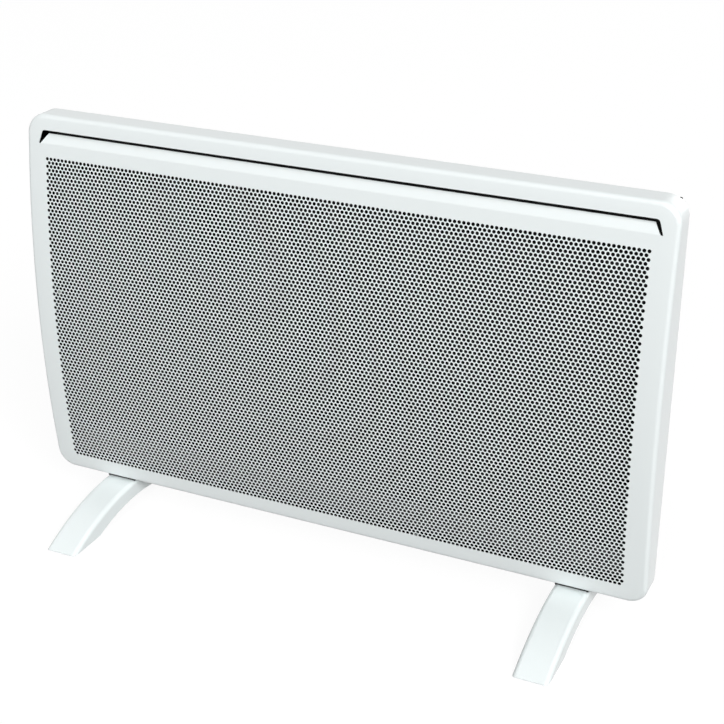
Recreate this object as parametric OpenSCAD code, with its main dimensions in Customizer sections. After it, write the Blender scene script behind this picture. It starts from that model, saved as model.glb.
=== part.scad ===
// Free-standing radiant panel heater: a bowed, perforated steel casing on two arched feet,
// with a black heating plate and its rod inside and a control box behind the top right corner.
// X runs to the right, Y to the back and Z up. The origin is on the floor, under the middle of the feet.

/* [Casing] */
// Width of the casing
casing_w = 750; // [650:10:850]
// Height of the casing
casing_h = 450; // [420:10:520]
// Depth of the casing, from the crown of its bowed front to its rear edge
casing_d = 45; // [43:1:55]
// Radius of the bow of the front, about a level axis behind it
bow_r = 1500; // [1400:50:2500]
// Radius of the casing's corners, seen from the front
corner_r = 22; // [18:1:24]
// Outer radius where the front is rolled over into the sides
edge_r = 5; // [4:0.5:7]
// Thickness of the casing's steel sheet
sheet_t = 1; // [0.8:0.1:1.2]
// Width of the lip turned in at the rear edge
lip_w = 12; // [10:1:14]
// Depth of the lip's rear face inside the rear edge
lip_inset = 3; // [2.5:0.5:4]
// Height of the casing's underside above the floor
ground_gap = 39; // [38:1:45]
// Distance of the casing's crown in front of the middle of the feet
crown_offset = 25; // [22:1:26]

/* [Perforated screen] */
// Diameter of each hole
hole_d = 9.3; // [6:0.1:9.5]
// Spacing of the holes along a row
hole_pitch = 15; // [14:0.5:25]
// Spacing of the rows, with every second row shifted by half a pitch
row_pitch = 12.75; // [12:0.25:20]
// Plain margin above the screen
screen_top_margin = 46.9; // [44:0.1:60]
// Plain margin below the screen
screen_foot_margin = 20.6; // [18:0.1:40]
// Plain margin at each side of the screen
screen_side_margin = 22.5; // [20:0.5:40]

/* [Air outlet] */
// Gap between the outlet slot's upper corners and the casing's sides
slot_side_gap = 21.2; // [20:0.1:60]
// Depth of the slot's upper edge below the top of the casing
slot_drop = 17.8; // [16:0.1:20]
// Height of the cut-out that the flap is folded out of
window_h = 13.9; // [12:0.1:14.5]
// Height of the open slot above the flap, and its width beside the flap at the top
slot_gap = 3.8; // [3:0.1:5]
// Width of the cut beside the flap at its fold
fold_gap = 1.5; // [1:0.1:2]
// How much further out each end of the cut-out reaches at the fold than at the top
end_splay = 5.1; // [3:0.1:6]
// Bend radius of the flap
flap_r = 12.8; // [12:0.1:15]
// Thickness of the flap
flap_t = 0.8; // [0.6:0.1:0.8]

/* [Feet] */
// Distance of the middle of each foot from the casing's side
foot_inset = 85; // [70:1:120]
// Width of a foot
foot_w = 40; // [38:1:46]
// Length of a foot, from toe to heel
foot_len = 268; // [260:2:270]
// Radius of the foot's upper arc
foot_top_r = 291; // [285:1:320]
// Height of the top of the foot's arc
foot_crown = 34.2; // [33:0.1:35]
// Height of the arch under the foot
arch_h = 14.4; // [12:0.1:16]
// Radius of the arch under the foot
arch_r = 240; // [200:5:260]
// Radius of the foot's upper side edges
foot_edge_r = 5; // [3:0.5:6]
// Wall of the moulded foot
foot_wall = 3; // [2:0.5:4]
// Thickness of the rubber pad under each end of a foot
sole_t = 2; // [1.5:0.1:2.5]
// How far the rubber pad stands below the foot
sole_proud = 0.4; // [0.2:0.1:0.6]

/* [Heating element] */
// Gap between the heating plate and each side of the casing
plate_side_gap = 40; // [38:1:60]
// Gap between the heating plate and the casing's top and underside
plate_end_gap = 65; // [62:1:75]
// Thickness of the heating plate
plate_t = 1.5; // [1:0.1:2]
// Depth of the ribs pressed into the plate
rib_d = 3; // [2:0.5:4]
// Distance of the plate's rear face in front of the tray
plate_standoff = 11.4; // [11:0.1:12]
// Diameter of the sheathed heating rod
rod_d = 6.6; // [6:0.1:7]
// Gap between the straight part of the rod's passes and each side of the plate
pass_side_gap = 73; // [66:1:90]
// Thickness of the reflector tray's sheet
tray_t = 0.6; // [0.5:0.1:0.8]
// Depth of the tray, which holds the insulation
tray_d = 9.6; // [9:0.1:11]
// How far the tray reaches past the plate above and below
tray_reach = 12; // [8:1:14]

/* [Control box] */
// Width of the control box
box_w = 70; // [70:1:76]
// Height of the control box
box_h = 100; // [98:1:110]
// Depth of the control box behind the back panel
box_d = 32; // [32:1:36]
// Wall of the control box
box_wall = 2; // [1.8:0.1:2.4]
// Gap between the control box and the casing's right side
box_side_gap = 14.5; // [14:0.5:20]
// Gap between the control box and the casing's top
box_top_gap = 12.5; // [11:0.5:16]
// Diameter of the thermostat knob
knob_d = 24; // [22:0.5:25]
// Diameter of the thermostat spindle
spindle_d = 6; // [5.5:0.1:6.5]
// Running clearance round the spindle, on its radius
spindle_fit = 0.05; // [0.03:0.01:0.1]
// Length of the power rocker's cap
rocker_l = 15.6; // [14:0.1:16]
// Tilt of the rocker each way from level
rocker_tilt = 8; // [6:0.5:9]
// Bore of the inlet for the supply cord
cord_bore = 7.5; // [6:0.1:8]

/* [Wall hooks] */
// Spacing of the two hook slots across the back
hook_span = 400; // [300:10:420]
// Depth of the hook slots below the top of the casing
hook_drop = 43; // [41:1:45]
// Length of a hook slot
hook_slot_l = 26; // [20:1:30]
// Height of a hook slot
hook_slot_h = 7; // [6:0.5:8]

/* [Hidden] */
$fn = 48;
eps = 1;

// Places of the casing
bottom_z = ground_gap;
top_z = ground_gap + casing_h;
mid_z = ground_gap + casing_h / 2;
front_y = -crown_offset;
back_y = front_y + casing_d;
lip_rear_y = back_y - lip_inset;
lip_front_y = lip_rear_y - sheet_t;
panel_t = 1;
panel_gap = 0.4;
panel_rear_y = lip_rear_y + panel_t;
corner_step = 11.25;
inlet_slot_l = 22;
inlet_slot_h = 8;
inlet_pitch = 30;
inlet_y = 6;
back_slot_l = 36;
back_slot_h = 5;
back_slot_pitch = 48;
back_slot_drop = 21;
bead_l = casing_w - 200;
bead_h = 14;
bead_pitch = casing_h / 7.5;

// Screws of the back panel, along the middle of the lip, as shares of the casing's width
lip_line = sheet_t + lip_w / 2;
back_screw_xs = [-0.4, -0.1333, 0.1333, 0.4];
back_screw_d = 3;
back_screw_head_d = 6.4;
back_screw_head_h = 1.8;
back_screw_tip = 5;

// Sizes that follow the casing
foot_span = casing_w - 2 * foot_inset;
slot_w = casing_w - 2 * slot_side_gap;
plate_w = casing_w - 2 * plate_side_gap;
plate_h = casing_h - 2 * plate_end_gap;
pass_pitch = plate_h / 4;
pass_len = plate_w - 2 * pass_side_gap;
tray_w = plate_w + 20;
tray_h = plate_h + 2 * tray_reach;

// Screen of holes
screen_top_z = top_z - screen_top_margin;
screen_rows = floor((casing_h - screen_top_margin - screen_foot_margin) / row_pitch + 0.001);
screen_cols = floor((casing_w - 2 * screen_side_margin) / hole_pitch + 0.001);

// Outlet flap
slot_top_z = top_z - slot_drop;
fold_z = slot_top_z - window_h;
flap_rise = window_h - slot_gap;
fold_tilt = asin((fold_z - mid_z) / bow_r);
flap_angle = 51;
window_corner_r = 3;

// Heating element, from the back forwards
tray_rear_y = lip_rear_y;
tray_front_y = tray_rear_y - tray_d;
plate_rear_y = tray_front_y - plate_standoff;
plate_front_y = plate_rear_y - plate_t;
rod_gap = 0.1;
rod_y = plate_rear_y + rod_gap + rod_d / 2;
passes = [for (k = [1.5:-1:-1.5]) mid_z + k * pass_pitch];
clip_xs = [-0.36 * pass_len, 0, 0.36 * pass_len];
rib_half = 8;
rib_slope = 4;
rib_offset = 12;
rib_zs = [for (gap = [-pass_pitch, 0, pass_pitch], s = [-rib_offset, rib_offset]) gap + s];
flange_l = 6;
clip_w = 12;
clip_t = 0.8;
clip_ear = 14;
rivet_d = 3.2;
rivet_head_d = 6;
rivet_head_h = 1.2;
rivet_offset = 9;
rivet_gap = 0.05;
channel_w = 6;
channel_x = tray_w / 2 + channel_w / 2;
bracket_x = tray_w / 2 + channel_w;
bracket_t = 1;
bracket_flange_w = 10;
bracket_slot_l = 60;
bracket_slot_h = 8;
tab_h = 24;
tab_reach = 8;
spacer_t = 3;
spacer_d = 14;
spacer_x = plate_w / 2 - 7;
spacer_zs = [mid_z - plate_h / 2 + 20, mid_z, mid_z + plate_h / 2 - 20];
m4_d = 4;
m4_hole_d = 4.5;
m4_nut_d = 8.08;
m4_nut_h = 3.2;
m4_nut_gap = 0.1;
element_head_d = 7.5;
element_head_h = 2.4;
element_screw_tip = 5;
terminal_x = pass_len / 2 + 50;
seal_l = 12;
seal_nose_d = 4.4;
terminal_d = 2;
terminal_nut_d = 5;
terminal_nut_h = 2.2;
terminal_l = 14;
cutout_x = terminal_x - 112;
cutout_z = mid_z + pass_pitch;
cutout_d = 16;
cutout_h = 4.5;
cutout_ear_w = 32;
cutout_screw_x = 12;
cutout_screw_d = 3;
cutout_screw_tip = 1.2;
blade_x = 4;
blade_w = 0.8;
dish_d = 5;
dish_gap = 0.5;

// Control box
box_x1 = casing_w / 2 - box_side_gap;
box_x0 = box_x1 - box_w;
box_z1 = top_z - box_top_gap;
box_z0 = box_z1 - box_h;
box_y0 = panel_rear_y;
box_y1 = box_y0 + box_d;
box_mid_y = box_y0 + box_d / 2;
box_edge_r = 1.2;
base_t = 2;
base_gap = 0.2;
thermostat_z = box_z1 - 26;
switch_z = box_z1 - 62;
lens_z = box_z1 - 84;
bush_d = 10;
bush_len = 6;
thermostat_box = [20, 24, 26];
bush_gap = 0.15;
nut_t = 2.5;
bush_nut_d = 16.17;
knob_gap = 0.6;
knob_h = 8.4;
knob_x0 = box_x1 + knob_gap;
knob_x1 = knob_x0 + knob_h;
knob_skirt_d = 18.4;
spindle_end = 12;
pivot_x = box_x1 - 9;
pivot_d = 2.4;
rocker_w = 10;
rocker_side_gap = 0.3;
rocker_end_gap = 0.8;
switch_body_w = 12.7;
switch_body_h = 19;
switch_depth = 16;
switch_flange = [1.5, 15, 21];
lens_d = 6;
grommet_x = box_x0 + 35;
grommet_z = box_z1 - 24;
grommet_r = 6;
grommet_bore_r = 4.4;
grommet_rim_r = 7.6;
grommet_gap = 0.1;
earth_x = box_x0 - 8;
earth_z = grommet_z + 2;
inlet_x = box_x0 + 29;
block_x = box_x0 + 14.5;
block_z = box_z0 + 20;
pole_pitch = 8;
pole_offset = 4;
vent_pitch = 11;
block_h = 16;
block_d = 13;
lead_d = 2.5;
lead_end_z = block_z + block_h + 0.5;
function pole_x(i) = block_x + pole_offset + i * pole_pitch;
post_d = 7;
post_side_gap = 10;
post_top_gap = 10;
post_foot_gap = 12;
inner_post_x = box_x0 + 43;
inner_post_z = box_z0 + 21;
post_spots = [[box_x0 + post_side_gap, box_z0 + post_foot_gap], [box_x0 + post_side_gap, box_z1 - post_top_gap],
  [inner_post_x, inner_post_z]];
cover_screw_d = 2.6;
base_screw_d = 2.4;
base_screw_tip = 3;
base_screw_end_gap = 8;
base_screw_inner = 22;
base_screw_outer_low = 58.5;
base_screw_outer_high = 52;
base_screw_spots = [[box_x0 + base_screw_inner, box_z0 + base_screw_end_gap],
  [box_x0 + base_screw_inner, box_z1 - base_screw_end_gap],
  [box_x0 + base_screw_outer_low, box_z0 + base_screw_end_gap],
  [box_x0 + base_screw_outer_high, box_z1 - base_screw_end_gap]];

// Feet
foot_arc_z = foot_crown - foot_top_r;
arch_z = arch_h - arch_r;
foot_screw_y = 8;
foot_screw_x = 10;
foot_screw_xs = [-foot_screw_x, foot_screw_x];
saddle_y0 = 0;
saddle_y1 = 15;
saddle_sink = 0.6;
saddle_inset = 1;
anchor_t = 3;
anchor_w = 36;
anchor_y0 = -2;
anchor_y1 = 15;
rib_t = 2.5;
screw_seat_z = 26;
sole_l = 32;
toe_block = sole_l + 10;
sole_y1 = foot_len / 2 - 5;
sole_y0 = sole_y1 - sole_l;
sole_margin = 6;

function unit(v) = v / norm(v);

// Depth of the bowed front behind its crown, for a bow of radius r
function bow_depth(z, r) = r - sqrt(r * r - pow(z - mid_z, 2));

// Extrudes a flat drawing of X and Z along Y, or one of Y and Z along X
module along_y(y0, y1) translate([0, y1, 0]) rotate([90, 0, 0]) linear_extrude(y1 - y0) children();
module along_x(x0, x1) translate([x0, 0, 0]) rotate([90, 0, 90]) linear_extrude(x1 - x0) children();

// A cylinder along Y from y0 to y1, and one along X from x0 to x1
module pin_y(d, y0, y1) translate([0, y0, 0]) rotate([-90, 0, 0]) cylinder(d = d, h = y1 - y0);
module pin_x(d, x0, x1) translate([x0, 0, 0]) rotate([0, 90, 0]) cylinder(d = d, h = x1 - x0);

module rounded_rect(w, h, r) {
  square([w - 2 * r, h], center = true);
  square([w, h - 2 * r], center = true);
  for (x = [-1, 1], y = [-1, 1]) translate([x * (w / 2 - r), y * (h / 2 - r)]) circle(r);
}

module obround(l, h) {
  square([l - h, h], center = true);
  for (x = [-1, 1]) translate([x * (l - h) / 2, 0]) circle(d = h);
}

// A box with all its edges rounded by r, between two corners
module soft_box(a, b, r) {
  s = b - a;
  translate((a + b) / 2) intersection() {
    along_y(-s[1] / 2, s[1] / 2) rounded_rect(s[0], s[2], r);
    along_x(-s[0] / 2, s[0] / 2) rounded_rect(s[1], s[2], r);
    translate([0, 0, -s[2] / 2]) linear_extrude(s[2]) rounded_rect(s[0], s[1], r);
  }
}

// Right-hand half of the casing's outline, drawn in by inset: points of X, Z and outward angle.
// The straight side is divided between the rows of holes, so each row lies in one strip of the bow.
function edge_points(inset) =
  let (cx = casing_w / 2 - corner_r, cz = casing_h / 2 - corner_r, r = corner_r - inset)
  concat(
    [for (a = [90:-corner_step:0]) [cx + r * cos(a), mid_z + cz + r * sin(a), a]],
    [for (j = [0:screen_rows]) let (z = screen_top_z - j * row_pitch)
      if (z < mid_z + cz - eps && z > mid_z - cz + eps) [cx + r, z, 0]],
    [for (a = [0:-corner_step:-90]) [cx + r * cos(a), mid_z - cz + r * sin(a), a]]);

// The whole outline as a flat drawing of X and Z
module outline(inset) {
  right = [for (p = edge_points(inset))
    if (p[2] != 0 || abs(abs(p[1] - mid_z) - casing_h / 2 + corner_r) < eps) [p[0], p[1]]];
  polygon(concat(right, [for (i = [len(right) - 1:-1:0]) [-right[i][0], right[i][1]]]));
}

// A solid bounded by the bowed front, its rolled edge and the casing's sides, lying skin inside
// the casing's outer face. A ball of the edge's radius rolls round the rim, t = 0 at the front.
function rim_ring(skin, t) = [for (p = edge_points(edge_r)) let (
    s = (p[1] - mid_z) / (bow_r - edge_r),
    n = [0, -sqrt(1 - s * s), s],
    e = [cos(p[2]), 0, sin(p[2])],
    turn = acos(n * e),
    d = (sin((1 - t) * turn) * n + sin(t * turn) * e) / sin(turn))
  [p[0], front_y + edge_r + bow_depth(p[1], bow_r - edge_r), p[1]] + (edge_r - skin) * d];

module bowed_block(skin, y_end) {
  edge_steps = 6;
  rings = concat([for (k = [0:edge_steps]) rim_ring(skin, k / edge_steps)],
    [[for (p = rim_ring(skin, 1)) [p[0], y_end, p[2]]]]);
  half = len(rings[0]);
  n = 2 * half;
  points = [for (ring = rings) each concat(ring,
    [for (i = [half - 1:-1:0]) [-ring[i][0], ring[i][1], ring[i][2]]])];
  front = [for (i = [0:half - 2]) [i, i + 1, n - 2 - i, n - 1 - i]];
  sides = [for (k = [0:len(rings) - 2], i = [0:n - 1]) let (j = (i + 1) % n)
    [k * n + i, (k + 1) * n + i, (k + 1) * n + j, k * n + j]];
  back = [[for (i = [n - 1:-1:0]) (len(rings) - 1) * n + i]];
  polyhedron(points, concat(front, sides, back));
}

// Tube that follows a route, with its corners rounded by a bend radius
function bent(route, bend) = let (k = 4) concat([route[0]],
  [for (i = [1:len(route) - 2])
    let (p = route[i], a = p + bend * unit(route[i - 1] - p), b = p + bend * unit(route[i + 1] - p))
    for (j = [0:k]) let (t = j / k) (1 - t) * (1 - t) * a + 2 * t * (1 - t) * p + t * t * b],
  [route[len(route) - 1]]);
function carried(dirs, n, i = 0) = i == len(dirs) ? [] :
  let (m = unit(n - (n * dirs[i]) * dirs[i])) concat([m], carried(dirs, m, i + 1));
module tube(route, d, bend) {
  sides = 8;
  p = bent(route, bend);
  last = len(p) - 1;
  dirs = [for (i = [0:last]) unit(p[min(i + 1, last)] - p[max(i - 1, 0)])];
  side = carried(dirs, cross(dirs[0], [0.3, 0.5, 0.8]));
  points = [for (i = [0:last], a = [0:360 / sides:359])
    p[i] + d / 2 * (cos(a) * side[i] + sin(a) * cross(dirs[i], side[i]))];
  faces = concat([[for (a = [0:sides - 1]) a]],
    [for (i = [0:last - 1], a = [0:sides - 1]) let (b = (a + 1) % sides)
      [i * sides + a, (i + 1) * sides + a, (i + 1) * sides + b, i * sides + b]],
    [[for (a = [sides - 1:-1:0]) last * sides + a]]);
  polyhedron(points, faces);
}

// Pan head screw along Y: its head lies behind y, and its shank runs len forwards
module pan_screw_y(d, head_d, head_h, len) {
  pin_y(d, -len, eps / 2);
  difference() {
    rotate([-90, 0, 0]) rotate_extrude() polygon([[0, 0], [head_d / 2, 0], [head_d / 2, head_h * 0.5],
      [head_d / 2 * 0.86, head_h * 0.85], [head_d / 2 * 0.6, head_h], [0, head_h]]);
    for (a = [0, 90]) rotate([0, a, 0])
      translate([-head_d * 0.28, head_h * 0.5, -0.4]) cube([head_d * 0.56, head_h, 0.8]);
  }
}

// Casing: front, rolled edges, sides and rear lip pressed from one sheet

module slot_window() {
  a = slot_w / 2;
  b = a + end_splay;
  right = concat([[b, fold_z]],
    [for (t = [0:22.5:90]) [a, slot_top_z] + window_corner_r * [cos(t) - 1, sin(t) - 1]]);
  polygon(concat(right, [for (i = [len(right) - 1:-1:0]) [-right[i][0], right[i][1]]]));
}

module outlet_flap() {
  skin = (sheet_t - flap_t) / 2;
  up = [sin(fold_tilt), cos(fold_tilt)];
  inward = [cos(fold_tilt), -sin(fold_tilt)];
  centre = [front_y + bow_depth(fold_z, bow_r), fold_z] + flap_r * inward;
  steps = [0:flap_angle / 6:flap_angle];
  function arc(r) = [for (a = steps) centre + r * (sin(a) * up - cos(a) * inward)];
  outer = arc(flap_r - skin);
  inner = arc(flap_r - skin - flap_t);
  root = -0.6 * up;
  top_half = slot_w / 2 - slot_gap;
  fold_half = slot_w / 2 + end_splay - fold_gap;
  intersection() {
    along_x(-fold_half, fold_half)
      polygon(concat([outer[0] + root], outer, [for (i = [len(inner) - 1:-1:0]) inner[i]], [inner[0] + root]));
    along_y(front_y, back_y) for (side = [-1, 1]) polygon([[0, fold_z - 2],
      [side * fold_half, fold_z - 2], [side * fold_half, fold_z],
      [side * top_half, fold_z + flap_rise], [side * top_half, slot_top_z], [0, slot_top_z]]);
  }
}

module screen_holes() {
  for (j = [0:screen_rows - 1]) let (n = screen_cols - j % 2, z = screen_top_z - (j + 0.5) * row_pitch)
    for (i = [0:n - 1]) translate([(i - (n - 1) / 2) * hole_pitch, 0, z])
      pin_y(hole_d, front_y - eps, front_y + bow_depth(z, bow_r) + 3 * sheet_t);
}

module bottom_slots() {
  n = floor((foot_span - foot_w - inlet_pitch) / inlet_pitch);
  for (i = [0:n - 1]) translate([(i - (n - 1) / 2) * inlet_pitch, inlet_y, bottom_z - eps])
    linear_extrude(sheet_t + 2 * eps) obround(inlet_slot_l, inlet_slot_h);
}

module at_foot_screws() {
  for (side = [-1, 1], x = foot_screw_xs) translate([side * foot_span / 2 + x, foot_screw_y, 0]) children();
}

// Screws of the back panel, along the middle of the lip
module at_back_screws() {
  for (x = back_screw_xs, z = [bottom_z + lip_line, top_z - lip_line])
    translate([x * casing_w, 0, z]) children();
  for (x = [-1, 1]) translate([x * (casing_w / 2 - lip_line), 0, mid_z]) children();
}

module front_casing() color("#eef2f2") {
  difference() {
    union() {
      difference() {
        bowed_block(0, back_y);
        bowed_block(sheet_t, lip_front_y);
        along_y(lip_rear_y, back_y + eps) outline(sheet_t);
        along_y(lip_front_y - eps, back_y) outline(sheet_t + lip_w);
        along_y(front_y - eps, lip_front_y - eps) slot_window();
      }
      outlet_flap();
    }
    screen_holes();
    bottom_slots();
    at_foot_screws() translate([0, 0, bottom_z - eps]) cylinder(d = m4_hole_d, h = sheet_t + 2 * eps);
    at_back_screws() pin_y(back_screw_d + 0.2, lip_front_y - eps, lip_rear_y + eps);
  }
}

module at_base_screws() for (p = base_screw_spots) translate([p[0], 0, p[1]]) children();

// Back panel: steel sheet on the lip, with pressed beads, air slots, hook slots and the lead hole

module at_hooks() {
  for (x = [-1, 1]) translate([x * hook_span / 2, 0, top_z - hook_drop]) children();
}

module back_slots() {
  for (i = [-6:5]) translate([i * back_slot_pitch, 0, top_z - back_slot_drop]) children();
}

module at_beads() for (i = [-2:1]) translate([0, 0, mid_z + i * bead_pitch]) children();

module back_panel() color("#d9dcdc") difference() {
  union() {
    along_y(lip_rear_y, panel_rear_y) outline(sheet_t + panel_gap);
    at_beads() along_y(lip_rear_y, panel_rear_y + panel_t) obround(bead_l, bead_h);
  }
  at_beads() along_y(lip_rear_y - eps, panel_rear_y)
    obround(bead_l - 2 * panel_t, bead_h - 2 * panel_t);
  at_hooks() along_y(lip_rear_y - eps, panel_rear_y + eps) obround(hook_slot_l, hook_slot_h);
  back_slots() along_y(lip_rear_y - eps, panel_rear_y + eps) obround(back_slot_l, back_slot_h);
  at_back_screws() pin_y(back_screw_d + 0.6, lip_rear_y - eps, panel_rear_y + eps);
  at_base_screws() pin_y(base_screw_d + 0.2, lip_rear_y - eps, panel_rear_y + eps);
  translate([grommet_x, 0, grommet_z])
    pin_y(2 * (grommet_r + grommet_gap), lip_rear_y - eps, panel_rear_y + eps);
  translate([earth_x, 0, earth_z]) pin_y(m4_hole_d, lip_rear_y - eps, panel_rear_y + eps);
}

module back_screws() color("#c8cacb")
  at_back_screws() translate([0, panel_rear_y, 0])
    pan_screw_y(back_screw_d, back_screw_head_d, back_screw_head_h, panel_t + sheet_t + back_screw_tip);

// Heating element: a ribbed plate with the rod clipped to its back

// Drawn from the foot of the plate up: Z from the middle, and how far the sheet is pressed forwards
function plate_line() = concat([[-plate_h / 2, flange_l], [-plate_h / 2 + flange_l, 0]],
  [for (z = rib_zs) each [[z - rib_half, 0], [z - rib_half + rib_slope, rib_d],
    [z + rib_half - rib_slope, rib_d], [z + rib_half, 0]]],
  [[plate_h / 2 - flange_l, 0], [plate_h / 2, flange_l]]);

module at_clips() for (x = clip_xs, z = passes) translate([x, 0, z]) children();

module at_rivets() at_clips() for (s = [-1, 1]) translate([0, 0, s * rivet_offset]) children();

module at_spacers() for (x = [-1, 1], z = spacer_zs) translate([x * spacer_x, 0, z]) children();

module radiant_plate() color("#2b2c2e") {
  line = plate_line();
  difference() {
    along_x(-plate_w / 2, plate_w / 2) polygon(concat(
      [for (p = line) [plate_front_y - p[1], mid_z + p[0]]],
      [for (i = [len(line) - 1:-1:0]) [plate_rear_y - line[i][1], mid_z + line[i][0]]]));
    at_rivets() pin_y(rivet_d + 2 * rivet_gap, plate_front_y - eps, plate_rear_y + eps);
    at_spacers() pin_y(m4_hole_d, plate_front_y - eps, plate_rear_y + eps);
  }
}

module heating_rod() color("#8c8f92") {
  bend_r = pass_pitch / 2;
  for (z = passes) translate([0, rod_y, z]) pin_x(rod_d, -pass_len / 2, pass_len / 2);
  for (z = [passes[0], passes[3]]) translate([0, rod_y, z])
    pin_x(rod_d, pass_len / 2 - eps, terminal_x - seal_l);
  for (k = [-1, 1]) translate([-pass_len / 2, rod_y, mid_z + k * pass_pitch]) rod_bend(bend_r, 90);
  translate([pass_len / 2, rod_y, mid_z]) rod_bend(bend_r, -90);
}

module rod_bend(r, a)
  rotate([90, 0, 0]) rotate([0, 0, a]) rotate_extrude(angle = 180) translate([r, 0]) circle(d = rod_d);

module at_rod_ends() for (z = [passes[0], passes[3]]) translate([terminal_x, rod_y, z]) children();

// Ceramic bead at each cold end of the rod, and the threaded pin with its nut that comes out of it
module rod_seals() color("#e8e4d8") at_rod_ends() difference() {
  rotate([0, 90, 0]) translate([0, 0, -seal_l]) rotate_extrude()
    polygon([[0, 0], [rod_d / 2, 0], [rod_d / 2, 4], [seal_nose_d / 2, 7], [0, 7]]);
  pin_x(terminal_d + 0.1, -seal_l - eps, 0);
}

module rod_terminals() color("#b9bcc0") at_rod_ends() {
  pin_x(terminal_d, 1 - seal_l, terminal_l - seal_l + 1);
  translate([-4.8, 0, 0]) rotate([0, 90, 0]) cylinder(d = terminal_nut_d, h = terminal_nut_h, $fn = 6);
}

module rod_clips() color("#b4b7ba") at_clips() difference() {
  along_x(-clip_w / 2, clip_w / 2) {
    inner = rod_d / 2 + rod_gap;
    difference() {
      union() {
        translate([rod_y, 0]) circle(inner + clip_t);
        translate([plate_rear_y, -inner - clip_t]) square([rod_y - plate_rear_y, 2 * (inner + clip_t)]);
        translate([plate_rear_y, -clip_ear]) square([clip_t, 2 * clip_ear]);
      }
      translate([rod_y, 0]) circle(inner);
      translate([plate_rear_y - eps, -inner]) square([rod_y - plate_rear_y + eps, 2 * inner]);
    }
  }
  for (s = [-1, 1]) translate([0, 0, s * rivet_offset])
    pin_y(rivet_d + 2 * rivet_gap, plate_rear_y - eps, plate_rear_y + clip_t + eps);
}

module clip_rivets() color("#c4c6c8") at_rivets() {
  pin_y(rivet_d, plate_front_y - rivet_head_h / 2, plate_rear_y + clip_t + rivet_head_h / 2);
  pin_y(rivet_head_d, plate_front_y - rivet_head_h, plate_front_y);
  pin_y(rivet_head_d, plate_rear_y + clip_t, plate_rear_y + clip_t + rivet_head_h);
}

module at_cutout_screws()
  for (s = [-1, 1]) translate([cutout_x + s * cutout_screw_x, 0, cutout_z]) children();

// Reflector tray, open to the back and filled with mineral wool
module reflector_tray() color("#cfd3d6") difference() {
  translate([-tray_w / 2, tray_front_y, mid_z - tray_h / 2]) cube([tray_w, tray_d, tray_h]);
  translate([-tray_w / 2 + tray_t, tray_front_y + tray_t, mid_z - tray_h / 2 + tray_t])
    cube([tray_w - 2 * tray_t, tray_d, tray_h - 2 * tray_t]);
  at_cutout_screws() pin_y(cutout_screw_d + 0.3, tray_front_y - eps, tray_front_y + tray_t + eps);
}

// The mat is dished where the tips of the screws of the control box and of the cut-out come through
module insulation_mat() color("#d8cf9a") difference() {
  translate([-tray_w / 2 + tray_t, tray_front_y + tray_t, mid_z - tray_h / 2 + tray_t])
    cube([tray_w - 2 * tray_t, tray_d - tray_t, tray_h - 2 * tray_t]);
  at_base_screws() pin_y(dish_d, lip_rear_y - base_screw_tip - dish_gap, lip_rear_y + eps);
  at_cutout_screws() pin_y(dish_d, tray_front_y - eps, tray_front_y + tray_t + cutout_screw_tip + dish_gap);
}

// Side brackets: a web with a rear flange on the back panel and three tabs that carry the plate
module bracket(side) {
  tab_y = plate_rear_y + spacer_t;
  z0 = mid_z - tray_h / 2;
  mirror([side < 0 ? 1 : 0, 0, 0]) difference() {
    union() {
      translate([bracket_x, tab_y, z0]) cube([bracket_t, lip_rear_y - tab_y, tray_h]);
      translate([bracket_x, lip_rear_y - bracket_t, z0]) cube([bracket_flange_w, bracket_t, tray_h]);
      for (z = spacer_zs) translate([spacer_x - tab_reach, tab_y, z - tab_h / 2])
        cube([bracket_x + bracket_t - spacer_x + tab_reach, bracket_t, tab_h]);
    }
    for (z = spacer_zs) translate([spacer_x, 0, z]) pin_y(m4_hole_d, tab_y - eps, tab_y + bracket_t + eps);
    for (z = [-1, 1]) translate([bracket_x - eps, (tab_y + lip_rear_y) / 2, mid_z + z * pass_pitch])
      rotate([0, 90, 0]) linear_extrude(bracket_t + 2 * eps) obround(bracket_slot_l, bracket_slot_h);
  }
}
module left_bracket() color("#bfc3c6") bracket(-1);
module right_bracket() color("#bfc3c6") bracket(1);

module ceramic_spacers() color("#ece8dc") at_spacers() difference() {
  pin_y(spacer_d, plate_rear_y, plate_rear_y + spacer_t);
  pin_y(m4_hole_d, plate_rear_y - eps, plate_rear_y + spacer_t + eps);
}

module element_screws() color("#c8cacb") at_spacers() {
  pin_y(m4_d, plate_front_y - eps, plate_rear_y + spacer_t + bracket_t + element_screw_tip);
  pin_y(element_head_d, plate_front_y - element_head_h, plate_front_y);
}

module m4_nut_y() rotate([-90, 0, 0]) cylinder(d = m4_nut_d, h = m4_nut_h, $fn = 6);

module element_nuts() color("#c8cacb") at_spacers() difference() {
  translate([0, plate_rear_y + spacer_t + bracket_t, 0]) m4_nut_y();
  pin_y(m4_d + m4_nut_gap, plate_rear_y, tray_front_y);
}

// Bimetal disc that cuts the element off when it overheats, screwed to the tray
module thermal_cutout() color("#8a5a3a") translate([cutout_x, tray_front_y, cutout_z]) {
  pin_y(cutout_d, -cutout_h, 0);
  translate([-cutout_ear_w / 2, -blade_w, -4]) cube([cutout_ear_w, blade_w, 8]);
  for (x = [-1, 1]) translate([x * blade_x - blade_w / 2, -4, 5]) cube([blade_w, 3, 10]);
  for (s = [-1, 1]) translate([s * cutout_screw_x, 0, 0])
    pin_y(cutout_screw_d, -2 * blade_w, tray_t + cutout_screw_tip);
}

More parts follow.
